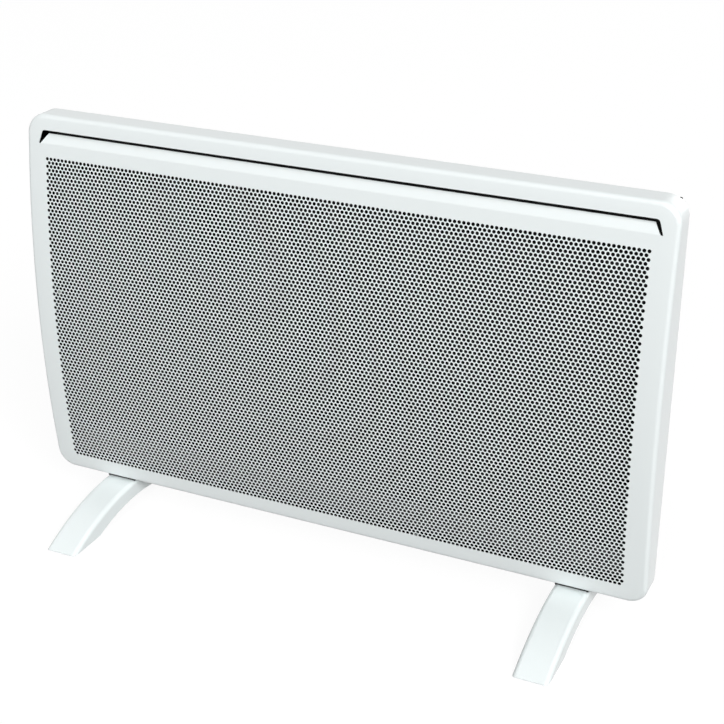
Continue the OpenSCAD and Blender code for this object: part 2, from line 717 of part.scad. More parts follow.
// Wiring. The points were chosen by hand, from the rod's ends and the cut-out to the control box
module element_leads() color("#d8d4c8") {
  tube([[terminal_x + 3.2, rod_y, passes[3]], [channel_x, rod_y, passes[3]], [channel_x, 9, passes[3] + 22],
    [channel_x, 9, grommet_z - 12], [grommet_x + 14, 9, grommet_z - 1.8], [grommet_x + 2.4, 9, grommet_z - 1.8],
    [grommet_x + 2.4, 27, grommet_z - 1.8], [pole_x(2), 27, lead_end_z]], lead_d, 4);
  tube([[cutout_x + 4, tray_front_y - 2.5, cutout_z + 15.2], [cutout_x + 4, tray_front_y - 2.5, cutout_z + 22],
    [terminal_x + 18, tray_front_y - 2.5, cutout_z + 22], [channel_x, 4.5, cutout_z + 34],
    [channel_x, 4.5, grommet_z - 10], [grommet_x + 14, 4.5, grommet_z + 2.2],
    [grommet_x - 0.2, 4.5, grommet_z + 2.2], [grommet_x - 0.2, 31, grommet_z + 2.2],
    [pole_x(1), 31, grommet_z - 6], [pole_x(1), 27, grommet_z - 20],
    [pole_x(1), 27, lead_end_z]], lead_d, 3);
  tube([[cutout_x - 4, tray_front_y - 2.5, cutout_z + 15.2], [cutout_x - 4, tray_front_y - 2.5, cutout_z + 27],
    [terminal_x + 6, tray_front_y - 2.5, cutout_z + 27], [terminal_x + 9, rod_y, passes[0]],
    [terminal_x + 3.2, rod_y, passes[0]]], lead_d, 2);
}

module earth_stud() color("#c9a94a") translate([earth_x, 0, earth_z]) {
  pin_y(m4_d, lip_rear_y - 10, panel_rear_y + 1.2);
  pin_y(7, panel_rear_y, panel_rear_y + 1.6);
  translate([0, lip_rear_y - 3 - m4_nut_h, 0]) m4_nut_y();
  pin_y(9, lip_rear_y - 3, lip_rear_y);
}
module earth_lead() color("#7fae3c")
  tube([[earth_x + 4.8, lip_rear_y - 1.6, earth_z], [earth_x + 16, lip_rear_y - 2, earth_z],
    [grommet_x - 2.4, lip_rear_y - 5, grommet_z - 1.8], [grommet_x - 2.4, 26, grommet_z - 1.8],
    [pole_x(0), 26, grommet_z - 10], [pole_x(0), 27, lead_end_z]], lead_d, 3);

module lead_grommet() color("#26272a") translate([grommet_x, 0, grommet_z]) {
  front = lip_rear_y;
  rear = box_y0 + base_t;
  rotate([-90, 0, 0]) rotate_extrude() polygon([[grommet_bore_r, front - 2],
    [grommet_rim_r, front - 2], [grommet_rim_r, front], [grommet_r, front], [grommet_r, rear],
    [grommet_rim_r, rear], [grommet_rim_r, rear + 2], [grommet_bore_r, rear + 2]]);
}

// Control box: a base on the back panel and a deep cover, moulded in black plastic

module at_posts() for (p = post_spots) translate([p[0], 0, p[1]]) children();

module control_base() color("#1d1e20") difference() {
  union() {
    along_y(box_y0, box_y0 + base_t) translate([(box_x0 + box_x1) / 2, (box_z0 + box_z1) / 2])
      rounded_rect(box_w - 2 * (box_wall + base_gap), box_h - 2 * (box_wall + base_gap), 1.5);
    at_posts() pin_y(post_d, box_y0, box_y1 - box_wall);
  }
  at_posts() pin_y(cover_screw_d + 0.2, box_y0 + 10, box_y1);
  at_base_screws() pin_y(base_screw_d + 1, box_y0 - eps, box_y0 + base_t + eps);
  translate([grommet_x, 0, grommet_z])
    pin_y(2 * (grommet_r + grommet_gap), box_y0 - eps, box_y0 + base_t + eps);
}

module box_vent() linear_extrude(box_wall + 2 * eps) rotate(90) obround(18, 3.5);

module control_cover() color("#1b1c1e") difference() {
  soft_box([box_x0, box_y0 - 2 * box_edge_r, box_z0], [box_x1, box_y1, box_z1], box_edge_r);
  translate([box_x0 - eps, box_y0 - 3 * box_edge_r, box_z0 - eps])
    cube([box_w + 2 * eps, 3 * box_edge_r, box_h + 2 * eps]);
  translate([box_x0 + box_wall, box_y0 - eps, box_z0 + box_wall])
    cube([box_w - 2 * box_wall, box_d - box_wall + eps, box_h - 2 * box_wall]);
  translate([0, box_mid_y, thermostat_z]) pin_x(bush_d + 2 * bush_gap, box_x1 - 2 * box_wall, box_x1 + eps);
  translate([0, box_mid_y, lens_z]) pin_x(lens_d + 0.2, box_x1 - 2 * box_wall, box_x1 + eps);
  translate([box_x1 - 2 * box_wall, box_mid_y - switch_body_w / 2 - 0.15, switch_z - switch_body_h / 2 - 0.2])
    cube([2 * box_wall + eps, switch_body_w + 0.3, switch_body_h + 0.4]);
  at_posts() pin_y(cover_screw_d + 0.8, box_y1 - box_wall - eps, box_y1 + eps);
  translate([inlet_x, box_mid_y, box_z0 - eps]) cylinder(d = 13.2, h = box_wall + 2 * eps);
  for (i = [0:3]) translate([inlet_x + (i - 1) * vent_pitch, box_mid_y, box_z1 - box_wall - eps]) box_vent();
  for (i = [1:2]) translate([inlet_x + i * vent_pitch, box_mid_y, box_z0 - eps]) box_vent();
}

module base_screws() color("#c8cacb") at_base_screws() translate([0, box_y0 + base_t, 0])
  pan_screw_y(base_screw_d, base_screw_d + 3, 1.6, base_t + panel_t + base_screw_tip);

module cover_screws() color("#2a2b2d") at_posts() translate([0, box_y1, 0])
  pan_screw_y(cover_screw_d, cover_screw_d + 3, 1.6, box_wall + 9);

// Thermostat: body with its threaded bush, a nut, the spindle and the knob
module thermostat_body() color("#e6e2d6") translate([0, box_mid_y, thermostat_z]) difference() {
  union() {
    translate([box_x1 - box_wall - thermostat_box[0], -thermostat_box[1] / 2, -thermostat_box[2] / 2])
      cube(thermostat_box);
    pin_x(bush_d, box_x1 - box_wall - eps, box_x1 - box_wall + bush_len);
  }
  pin_x(spindle_d + 2 * spindle_fit, box_x1 - box_wall - spindle_end - 2, box_x1 + bush_len);
}

module thermostat_nut() color("#c8cacb") translate([0, box_mid_y, thermostat_z]) difference() {
  translate([box_x1, 0, 0]) rotate([0, 90, 0]) cylinder(d = bush_nut_d, h = nut_t, $fn = 6);
  pin_x(bush_d + 0.1, box_x1 - eps, box_x1 + nut_t + eps);
}

module thermostat_spindle() color("#b9bcc0") translate([0, box_mid_y, thermostat_z]) difference() {
  pin_x(spindle_d, box_x1 - box_wall - spindle_end, knob_x1 - 2);
  translate([box_x1 + bush_len - 1, spindle_d / 2 - 1.2, -spindle_d]) cube([knob_h, spindle_d, 2 * spindle_d]);
}

module thermostat_knob() color("#232427") translate([0, box_mid_y, thermostat_z]) difference() {
  translate([knob_x0, 0, 0]) rotate([0, 90, 0]) rotate_extrude() polygon([[0, 0], [knob_d / 2, 0],
    [knob_d / 2, 2], [knob_d / 2 - 0.8, knob_h - 1.2], [knob_d / 2 - 2, knob_h], [0, knob_h]]);
  pin_x(knob_skirt_d, knob_x0 - eps, knob_x0 + 4.6);
  difference() {
    pin_x(spindle_d + 2 * spindle_fit, knob_x0, knob_x1 - 1.8);
    translate([knob_x0 - eps, spindle_d / 2 - 1.15, -spindle_d]) cube([knob_h, spindle_d, 2 * spindle_d]);
  }
  for (a = [0:20:340]) rotate([a, 0, 0])
    translate([0, knob_d / 2 + 0.5, 0]) pin_x(2.4, knob_x0 - eps, knob_x1 + eps);
  rotate([135, 0, 0]) translate([knob_x1 - 0.6, 5, -0.6]) cube([1, 5, 1.2]);
}

// Power switch: a body snapped into the cover, with a rocker on two short pins
module switch_body() color("#17181a") translate([0, box_mid_y, switch_z]) difference() {
  union() {
    translate([box_x1, -switch_flange[1] / 2, -switch_flange[2] / 2]) cube(switch_flange);
    translate([box_x1 - switch_depth, -switch_body_w / 2, -switch_body_h / 2])
      cube([switch_depth, switch_body_w, switch_body_h]);
    for (z = [-6, 0, 6]) translate([box_x1 - switch_depth - 7, -3, z - blade_w / 2]) cube([7, 6, blade_w]);
  }
  translate([box_x1 - 14, -rocker_w / 2 - rocker_side_gap, -rocker_l / 2 - rocker_end_gap])
    cube([16, rocker_w + 2 * rocker_side_gap, rocker_l + 2 * rocker_end_gap]);
  translate([pivot_x, 0, 0]) pin_y(pivot_d + 2 * spindle_fit, -7, 7);
}

module power_rocker() color("#2a2b2e") translate([pivot_x, box_mid_y, switch_z]) rotate([0, rocker_tilt, 0]) {
  rotate([90, 0, 0]) translate([0, 0, -rocker_w / 2]) linear_extrude(rocker_w) polygon([
    [-2.5, -rocker_l / 2 + 1.5], [-2.5, rocker_l / 2 - 1.5], [2.7, rocker_l / 2],
    [10.2, rocker_l / 2 - 0.9], [9.4, 0], [10.2, -rocker_l / 2 + 0.9], [2.7, -rocker_l / 2]]);
  pin_y(pivot_d, -6.2, 6.2);
}

module pilot_lens() color("#d9641e") translate([box_x1, box_mid_y, lens_z]) rotate([0, 90, 0]) difference() {
  rotate_extrude() polygon([[0, -7], [lens_d / 2, -7], [lens_d / 2, 0], [lens_d / 2 + 1, 0],
    [lens_d / 2 + 1, 0.8], [lens_d / 2 + 0.4, 1.8], [lens_d / 2 - 1, 2.5], [0, 2.7]]);
  translate([0, 0, -8]) cylinder(d = 3.8, h = 7);
}

module pilot_lamp() color("#f2d7b0") translate([box_x1, box_mid_y, lens_z]) pin_x(3.6, -15, -1.4);

module terminal_block() color("#e9e9e4") difference() {
  translate([block_x, box_y0 + base_t, block_z]) cube([2 * (pole_pitch + pole_offset), block_d, block_h]);
  for (i = [0:2]) translate([pole_x(i), 0, block_z + block_h / 2])
    pin_y(4.4, box_y0 + base_t + 6, box_y0 + base_t + block_d + eps);
}

// Inlet for the supply cord, in the underside of the cover
module cord_inlet() color("#26272a") translate([inlet_x, box_mid_y, box_z0]) rotate_extrude()
  polygon([[cord_bore / 2, -4], [7, -4], [8.6, -2], [8.6, 0], [6.5, 0], [6.5, box_wall],
    [7.6, box_wall], [7.2, 6], [cord_bore / 2, 6]]);

// Feet: one moulded arch each, hollow underneath, screwed up through a black saddle pad

// The arc of the foot's upper face, swept from a section with rounded top edges, drawn in by inset
module foot_sweep(inset) {
  r = foot_top_r - inset;
  w = foot_w - 2 * inset;
  e = foot_edge_r - inset;
  depth = foot_crown + 4;
  sweep = 2 * asin((foot_len / 2 + 8) / foot_top_r);
  translate([0, 0, foot_arc_z]) rotate([0, -90, 0]) rotate([0, 0, -sweep / 2])
    rotate_extrude(angle = sweep, $fn = 360) {
    translate([r - depth, -w / 2]) square([depth - e, w]);
    translate([r - depth, -w / 2 + e]) square([depth, w - 2 * e]);
    for (s = [-1, 1]) translate([r - e, s * (w / 2 - e)]) circle(e, $fn = 32);
  }
}

// Side view of the foot, drawn in by inset at both ends
module foot_side(inset) difference() {
  translate([-foot_len / 2 + inset, sole_proud]) square([foot_len - 2 * inset, foot_crown]);
  translate([0, arch_z]) circle(arch_r, $fn = 360);
}

module foot_shape() intersection() {
  foot_sweep(0);
  along_x(-foot_w, foot_w) foot_side(0);
  linear_extrude(foot_crown + eps) rounded_rect(foot_w, foot_len, foot_edge_r - 0.5);
}

module foot() {
  half = foot_len / 2 - toe_block;
  ribs = [-0.82 * half, -0.5 * half, 0.5 * half, 0.82 * half];
  difference() {
    foot_shape();
    difference() {
      intersection() {
        foot_sweep(foot_wall);
        translate([-foot_w, -half, -eps]) cube([2 * foot_w, 2 * half, foot_crown]);
      }
      for (y = ribs) translate([-foot_w, y - rib_t / 2, -2 * eps]) cube([2 * foot_w, rib_t, foot_crown]);
      translate([-foot_w, foot_screw_y - 9, -2 * eps]) cube([2 * foot_w, 18, foot_crown]);
    }
    for (x = foot_screw_xs) translate([x, foot_screw_y, 0]) {
      cylinder(d = m4_hole_d, h = foot_crown + eps);
      cylinder(d = 9, h = screw_seat_z);
    }
    for (s = [-1, 1]) sole_pocket(s, 0.1);
  }
}

module sole_pocket(s, gap) translate([0, s * (sole_y0 + sole_y1) / 2, sole_proud - eps])
  linear_extrude(sole_t - sole_proud + eps)
    rounded_rect(foot_w - 2 * sole_margin + 2 * gap, sole_l + 2 * gap, 3 + gap);

module at_feet() for (side = [-1, 1]) translate([side * foot_span / 2, 0, 0]) children();

module left_foot() color("#f4f7f7") translate([-foot_span / 2, 0, 0]) foot();
module right_foot() color("#f4f7f7") translate([foot_span / 2, 0, 0]) foot();

module sole_pads() color("#3a3b3d") at_feet() for (s = [-1, 1])
  translate([0, s * (sole_y0 + sole_y1) / 2, 0]) linear_extrude(sole_t)
    rounded_rect(foot_w - 2 * sole_margin, sole_l, 3);

module saddle_pads() color("#17181a") at_feet() difference() {
  translate([-foot_w / 2 + saddle_inset, saddle_y0, foot_crown - saddle_sink])
    cube([foot_w - 2 * saddle_inset, saddle_y1 - saddle_y0, bottom_z - foot_crown + saddle_sink]);
  foot_sweep(0);
  for (x = foot_screw_xs) translate([x, foot_screw_y, 0]) cylinder(d = m4_hole_d, h = bottom_z + eps);
}

module anchor_plates() color("#b4b7ba") difference() {
  at_feet() translate([-anchor_w / 2, anchor_y0, bottom_z + sheet_t])
    cube([anchor_w, anchor_y1 - anchor_y0, anchor_t]);
  at_foot_screws() translate([0, 0, bottom_z]) cylinder(d = m4_d + 0.1, h = 2 * anchor_t);
}

module foot_screws() color("#c8cacb") at_foot_screws() {
  translate([0, 0, screw_seat_z - 1]) cylinder(d = m4_d, h = bottom_z + sheet_t + anchor_t + 2 - screw_seat_z);
  difference() {
    translate([0, 0, screw_seat_z - 2.8]) cylinder(d = 7.6, h = 2.8);
    for (a = [0, 90]) rotate(a) translate([-2.4, -0.45, screw_seat_z - 3.8]) cube([4.8, 0.9, 2.4]);
  }
}

front_casing();
back_panel();
back_screws();
radiant_plate();
heating_rod();
rod_seals();
rod_terminals();
rod_clips();
clip_rivets();
reflector_tray();
insulation_mat();
left_bracket();
right_bracket();
ceramic_spacers();
element_screws();
element_nuts();
thermal_cutout();
element_leads();
earth_stud();
earth_lead();
lead_grommet();
control_base();
control_cover();
base_screws();
cover_screws();
thermostat_body();
thermostat_nut();
thermostat_spindle();
thermostat_knob();
switch_body();
power_rocker();
pilot_lens();
pilot_lamp();
terminal_block();
cord_inlet();
left_foot();
right_foot();
saddle_pads();
sole_pads();
foot_screws();
anchor_plates();
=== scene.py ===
"""A free-standing radiant panel heater on its two arched feet, dressed for a studio photograph.
Lengths are in metres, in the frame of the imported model: X to the right, Y to the back, Z up."""
import math

import bmesh
import bpy
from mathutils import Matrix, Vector


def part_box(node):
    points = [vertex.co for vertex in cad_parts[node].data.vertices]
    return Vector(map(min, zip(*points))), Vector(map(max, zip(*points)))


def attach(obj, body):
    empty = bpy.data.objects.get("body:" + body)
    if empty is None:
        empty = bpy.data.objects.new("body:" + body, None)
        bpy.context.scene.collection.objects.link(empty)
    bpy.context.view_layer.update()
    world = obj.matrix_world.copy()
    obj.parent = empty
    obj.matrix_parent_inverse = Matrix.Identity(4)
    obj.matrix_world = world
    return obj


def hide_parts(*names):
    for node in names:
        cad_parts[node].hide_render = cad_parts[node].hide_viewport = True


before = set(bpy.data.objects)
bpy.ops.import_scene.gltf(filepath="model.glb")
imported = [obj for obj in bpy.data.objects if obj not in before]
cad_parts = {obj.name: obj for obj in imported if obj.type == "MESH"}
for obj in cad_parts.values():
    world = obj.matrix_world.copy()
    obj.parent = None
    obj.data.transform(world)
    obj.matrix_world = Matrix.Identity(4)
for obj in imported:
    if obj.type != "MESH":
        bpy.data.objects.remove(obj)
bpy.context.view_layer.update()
MM = 0.001

# Camera
# A 75 mm lens on a 36 mm sensor, 25 degrees round to the right of the heater and 25 degrees above it.
# Its place was fitted to the photograph, with the heater at the size that it is modelled in.
camera_turn = 25
camera_dip = 25
camera = bpy.data.objects.new("camera", bpy.data.cameras.new("camera"))
bpy.context.scene.collection.objects.link(camera)
camera.data.sensor_width = 36
camera.data.lens = 75.03
camera.data.clip_end = 20
camera.location = (0.66915, -1.35332, 0.95266)
camera.rotation_euler = (math.radians(90 - camera_dip), 0, math.radians(camera_turn))
bpy.context.scene.camera = camera
bpy.context.scene.view_settings.view_transform = "Standard"


# Studio
# A pale floor under a white sky. Seen directly, in gloss or through glass, both are white or nearly so, and
# the floor keeps the heater's shadow. Five large soft lamps stand far off, the strongest high at the front
# right. They give the rolled edges their bright line.
def linear(code):
    """The linear colour of an sRGB hex code."""
    parts = [int(code[i:i + 2], 16) / 255 for i in (1, 3, 5)]
    return [c / 12.92 if c <= 0.04045 else ((c + 0.055) / 1.055) ** 2.4 for c in parts] + [1.0]


def add_node(tree, kind, settings=(), inputs=(), links=()):
    """Adds a node, sets its properties and input values, and links other nodes' sockets into its own."""
    made = tree.nodes.new(kind)
    for key, value in dict(settings).items():
        setattr(made, key, value)
    for key, value in dict(inputs).items():
        made.inputs[key].default_value = value
    for key, socket in dict(links).items():
        tree.links.new(socket, made.inputs[key])
    return made


def start_backdrop(tree):
    """Empties a node tree. Returns a socket that is 1 for rays seen directly, in gloss or through glass."""
    tree.nodes.clear()
    rays = add_node(tree, "ShaderNodeLightPath")
    direct = rays.outputs["Is Camera Ray"]
    for kind in ("Is Glossy Ray", "Is Transmission Ray"):
        either = add_node(tree, "ShaderNodeMath", {"operation": "MAXIMUM"},
                          links={0: direct, 1: rays.outputs[kind]})
        direct = either.outputs[0]
    return direct


white = linear("#ffffff")
sky_light = 0.19
white_sky = bpy.data.worlds.new("white_sky")
bpy.context.scene.world = white_sky
white_sky.use_nodes = True
tree = white_sky.node_tree
direct = start_backdrop(tree)
light = add_node(tree, "ShaderNodeBackground", inputs={"Color": white, "Strength": sky_light})
seen = add_node(tree, "ShaderNodeBackground", inputs={"Color": white, "Strength": 1.0})
both = add_node(tree, "ShaderNodeMixShader", links={0: direct, 1: light.outputs[0], 2: seen.outputs[0]})
add_node(tree, "ShaderNodeOutputWorld", links={"Surface": both.outputs[0]})

floor_w = 14
floor_glow = 0.92
bpy.ops.object.select_all(action="DESELECT")
bpy.ops.mesh.primitive_plane_add(size=floor_w, location=(0, 0, 0))
floor = bpy.context.object
floor.name = "floor"
pale_floor = bpy.data.materials.new("pale_matt_floor")
pale_floor.use_nodes = True
tree = pale_floor.node_tree
direct = start_backdrop(tree)
matt = add_node(tree, "ShaderNodeBsdfDiffuse", inputs={"Color": linear("#5c5c5c")})
pale = add_node(tree, "ShaderNodeEmission", inputs={"Color": white, "Strength": floor_glow})
unlit = add_node(tree, "ShaderNodeEmission", inputs={"Strength": 0.0})
lift = add_node(tree, "ShaderNodeMixShader", links={0: direct, 1: unlit.outputs[0], 2: pale.outputs[0]})
both = add_node(tree, "ShaderNodeAddShader", links={0: matt.outputs[0], 1: lift.outputs[0]})
add_node(tree, "ShaderNodeOutputMaterial", links={"Surface": both.outputs[0]})
floor.data.materials.append(pale_floor)

heater_middle = Vector((0, 0, 0.25))
lamps = (
    ("key_lamp", (14.55, -13.89, 13.18), 9.0, 4050),
    ("front_lamp", (1.5, -15.1, 4.95), 6.0, 760),
    ("right_lamp", (14.88, -4.8, 3.35), 6.0, 330),
    ("top_lamp", (-1.0, -6.36, 14.2), 6.0, 290),
    ("rear_lamp", (2.4, 15.7, 1.5), 6.0, 1400),
)
for name, place, lamp_w, watts in lamps:
    lamp = bpy.data.lights.new(name, "AREA")
    lamp.size = lamp_w
    lamp.energy = watts
    stand = bpy.data.objects.new(name, lamp)
    bpy.context.scene.collection.objects.link(stand)
    stand.location = place
    stand.rotation_euler = (heater_middle - Vector(place)).to_track_quat("-Z", "Y").to_euler()


# Casing sheet
# One steel sheet with a bowed front, rolled over into its sides and turned in at the rear as a lip. It is
# stoved in satin white enamel outside. Its matt black inside is painted shade, which keeps the inside dark.
def new_finish(name, code, **values):
    """A material named for its finish, with its colour and other values on its one shader. Its node tree,
    its shader and the socket of its Object coordinates come with it."""
    made = bpy.data.materials.new(name)
    made.use_nodes = True
    shader = made.node_tree.nodes["Principled BSDF"]
    shader.inputs["Base Color"].default_value = linear(code)
    for key, value in values.items():
        shader.inputs[key.replace("_", " ")].default_value = value
    place = add_node(made.node_tree, "ShaderNodeTexCoord")
    return made, made.node_tree, shader, place.outputs["Object"]


def only(piece):
    """Selects one piece alone and makes it active."""
    bpy.ops.object.select_all(action="DESELECT")
    piece.select_set(True)
    bpy.context.view_layer.objects.active = piece


def pick(piece, kind, test):
    """In edit mode, selects those verts, edges or faces of a piece that pass a test."""
    bpy.ops.mesh.select_mode(type={"verts": "VERT", "edges": "EDGE", "faces": "FACE"}[kind])
    bpy.ops.mesh.select_all(action="DESELECT")
    mesh = bmesh.from_edit_mesh(piece.data)
    for element in getattr(mesh, kind):
        if test(element):
            element.select_set(True)
    mesh.select_flush_mode()
    bmesh.update_edit_mesh(piece.data)


def finish_with(piece, kind, **settings):
    """Puts one modifier on a piece and applies it."""
    only(piece)
    made = piece.modifiers.new(kind.lower(), kind)
    for key, value in settings.items():
        setattr(made, key, value)
    bpy.ops.object.modifier_apply(modifier=made.name)


def start_plane(name, place, w, h, turn=math.pi / 2):
    """A plane that stands upright unless its turn says otherwise, all selected and in edit mode."""
    bpy.ops.object.select_all(action="DESELECT")
    bpy.ops.mesh.primitive_plane_add(size=1, location=place, rotation=(turn, 0, 0))
    made = bpy.context.object
    made.name = name
    made.scale = (w, h, 1)
    bpy.ops.object.transform_apply(location=True, rotation=True, scale=True)
    bpy.ops.object.mode_set(mode="EDIT")
    return made


def deepen(step):
    """Extrudes the whole edited mesh by a step, turns its faces outwards and leaves edit mode."""
    bpy.ops.mesh.select_all(action="SELECT")
    bpy.ops.mesh.extrude_region_move(TRANSFORM_OT_translate={"value": step})
    bpy.ops.mesh.select_all(action="SELECT")
    bpy.ops.mesh.normals_make_consistent(inside=False)
    bpy.ops.object.mode_set(mode="OBJECT")


def smooth(piece):
    """Shades a finished piece smooth, except at edges sharper than the limit."""
    only(piece)
    bpy.ops.object.shade_smooth_by_angle(angle=smooth_limit)


casing_low, casing_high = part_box("front_casing")
casing_w = casing_high.x - casing_low.x
casing_h = casing_high.z - casing_low.z
mid_z = (casing_low.z + casing_high.z) / 2
front_y = casing_low.y
back_y = casing_high.y
bow_r = 1500 * MM
corner_r = 22 * MM
corner_steps = 14
edge_r = 5 * MM
edge_steps = 10
sheet_t = 1 * MM
lip_w = 12 * MM
lip_inset = 3 * MM
hole_pitch = 5 * MM
row_pitch = 4.25 * MM
pair_pitch = 2 * row_pitch
band_pairs = (11, 11, 11, 12)
columns = 140
screen_w = columns * hole_pitch
screen_drop = 46.875 * MM
screen_top_z = casing_high.z - screen_drop
screen_low_z = screen_top_z - sum(band_pairs) * pair_pitch
slot_drop = 17 * MM
slot_h = 15.6 * MM
slot_margin = 21.2 * MM
slot_top_z = casing_high.z - slot_drop
fold_z = slot_top_z - slot_h
slot_mid_z = (slot_top_z + fold_z) / 2
slot_half = casing_w / 2 - slot_margin
slot_corner_r = 3 * MM
slot_corner_steps = 5
slot_cut_d = 30 * MM
end_splay = 5.1 * MM
touching = 0.001 * MM
weld = 0.01 * MM
smooth_limit = math.radians(35)


def bow_depth(z):
    """How far the bowed front lies behind its crown at a height."""
    return bow_r - math.sqrt(bow_r ** 2 - (z - mid_z) ** 2)


# Stoved enamel is smooth and satin, with an orange peel 3 mm across that only softens a highlight's edge
enamel, tree, shader, spot = new_finish("stoved_satin_enamel", "#e6ecec", Roughness=0.3, Coat_Weight=0.4,
                                        Coat_Roughness=0.1)
peel = add_node(tree, "ShaderNodeTexNoise", inputs={"Scale": 1 / (3 * MM), "Detail": 1.0},
                links={"Vector": spot})
bump = add_node(tree, "ShaderNodeBump", inputs={"Strength": 0.15, "Distance": 0.05 * MM},
                links={"Height": peel.outputs["Fac"]})
tree.links.new(bump.outputs["Normal"], shader.inputs["Normal"])

# Painted shade: dead black with a grit of 0.8 mm, so that nothing shows inside the holes and the slot
shade_black, tree, shader, spot = new_finish("matt_black_painted_shade", "#060607", Roughness=0.85,
                                         Specular_IOR_Level=0.2)
grit = add_node(tree, "ShaderNodeTexNoise", inputs={"Scale": 1 / (0.8 * MM), "Detail": 3.0},
                links={"Vector": spot})
bump = add_node(tree, "ShaderNodeBump", inputs={"Strength": 0.4, "Distance": 0.1 * MM},
                links={"Height": grit.outputs["Fac"]})
tree.links.new(bump.outputs["Normal"], shader.inputs["Normal"])

# The rim is a rounded pan without its back. It is cut across at every pair of rows and on past the screen,
# so that its margins bow in the same steps as the screen, which then takes the place of its middle
cuts_below = sum(band_pairs) + 2
cuts_above = 5
faces_front = -0.9
rim = start_plane("casing_rim", (0, back_y, mid_z), casing_w, casing_h)
bpy.ops.mesh.bevel(offset=corner_r, segments=corner_steps, profile=0.5, affect="VERTICES")
bpy.ops.mesh.select_all(action="SELECT")
bpy.ops.mesh.extrude_region_move(TRANSFORM_OT_translate={"value": (0, front_y - back_y, 0)})
pick(rim, "edges", lambda e: all(abs(v.co.y - front_y) < touching for v in e.verts))
bpy.ops.mesh.bevel(offset=edge_r, segments=edge_steps, profile=0.5, affect="EDGES")
pick(rim, "faces", lambda f: all(abs(v.co.y - back_y) < touching for v in f.verts))
bpy.ops.mesh.delete(type="FACE")
for z in [screen_top_z + i * pair_pitch for i in range(-cuts_below, cuts_above + 1)] + [fold_z]:
    bpy.ops.mesh.select_all(action="SELECT")
    bpy.ops.mesh.bisect(plane_co=(0, 0, z), plane_no=(0, 0, 1))
for x in (-screen_w / 2, screen_w / 2):
    bpy.ops.mesh.select_all(action="SELECT")
    bpy.ops.mesh.bisect(plane_co=(x, 0, 0), plane_no=(1, 0, 0))
pick(rim, "faces", lambda f: abs(f.calc_center_median().x) < screen_w / 2 and f.normal.y < faces_front
     and screen_low_z < f.calc_center_median().z < screen_top_z)
bpy.ops.mesh.delete(type="FACE")
bpy.ops.mesh.select_all(action="SELECT")
bpy.ops.mesh.normals_make_consistent(inside=False)
bpy.ops.object.mode_set(mode="OBJECT")
for v in rim.data.vertices:
    if v.co.y < front_y + edge_r + weld:
        v.co.y += bow_depth(v.co.z)
rim.data.materials.append(enamel)
# The inside of the sheet takes the black of painted shade
rim.data.materials.append(shade_black)
finish_with(rim, "SOLIDIFY", thickness=sheet_t, offset=-1, use_even_offset=True, material_offset=1)

# The outlet slot widens downwards, and its upper corners are rounded
slot_cutter = start_plane("slot_cutter", (0, front_y, slot_mid_z), 2 * slot_half, slot_top_z - fold_z)
pick(slot_cutter, "verts", lambda v: v.co.z < slot_mid_z)
bpy.ops.transform.resize(value=((slot_half + end_splay) / slot_half, 1, 1), center_override=(0, 0, 0))
pick(slot_cutter, "verts", lambda v: v.co.z > slot_mid_z)
bpy.ops.mesh.bevel(offset=slot_corner_r, segments=slot_corner_steps, profile=0.5, affect="VERTICES")
deepen((0, slot_cut_d, 0))

# Air comes in through a row of round-ended slots in the underside. Their corners are a hair smaller than
# half their depth, so that two corners never meet in one point
inlet_w = 22 * MM
inlet_d = 8 * MM
inlet_y = 6 * MM
inlet_pitch = 30 * MM
inlets = 17
inlet_corner_r = inlet_d / 2 * 0.999
inlet_corner_steps = 6
inlet_cut = 3 * MM
first_inlet_x = -(inlets - 1) / 2 * inlet_pitch
inlet_cutter = start_plane("inlet_cutter", (first_inlet_x, inlet_y, casing_low.z - inlet_cut),
                           inlet_w, inlet_d, turn=0)
bpy.ops.mesh.bevel(offset=inlet_corner_r, segments=inlet_corner_steps, profile=0.5, affect="VERTICES")
deepen((0, 0, 2 * inlet_cut))
finish_with(inlet_cutter, "ARRAY", count=inlets, use_relative_offset=False, use_constant_offset=True,
            constant_offset_displace=(inlet_pitch, 0, 0))
for cutter in (slot_cutter, inlet_cutter):
    finish_with(rim, "BOOLEAN", operation="DIFFERENCE", solver="EXACT", object=cutter)
    bpy.data.objects.remove(cutter)

lip = start_plane("casing_lip", (0, back_y - lip_inset, mid_z),
                  casing_w - 2 * sheet_t, casing_h - 2 * sheet_t)
bpy.ops.mesh.bevel(offset=corner_r - sheet_t, segments=corner_steps, profile=0.5, affect="VERTICES")
bpy.ops.mesh.select_all(action="SELECT")
bpy.ops.mesh.inset(thickness=lip_w, depth=0)
bpy.ops.mesh.delete(type="FACE")
deepen((0, -sheet_t, 0))
# The lip takes the black of painted shade
lip.data.materials.append(shade_black)

for piece in (rim, lip):
    smooth(piece)
    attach(piece, "heater")
    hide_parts("front_casing")

# Outlet flap
# The tongue that the slot was cut from, folded in so that warm air leaves forwards over it. It is bent
# sharply at the fold and gently above, its ends slope in, and its upper edge shows how thin the sheet is.
flap_t = 0.8 * MM
fold_r = 4.5 * MM
fold_turn = math.radians(24)
sweep_r = 66 * MM
sweep_turn = math.radians(9.7)
bend_steps = 8
slot_gap = 4.8 * MM
fold_gap = 2.3 * MM
start_h = 4 * MM
fold_y = front_y + bow_depth(fold_z)
fold_half = slot_half + end_splay - fold_gap
top_half = slot_half - slot_gap
flap = start_plane("outlet_flap", (0, fold_y, fold_z), 2 * fold_half, start_h)
pick(flap, "verts", lambda v: v.co.z > fold_z)
bpy.ops.mesh.delete(type="VERT")
pick(flap, "verts", lambda v: True)
bpy.ops.transform.translate(value=(0, 0, start_h / 2))
lean = math.asin((fold_z - mid_z) / bow_r)
bend_start = Vector((0, fold_y, fold_z))
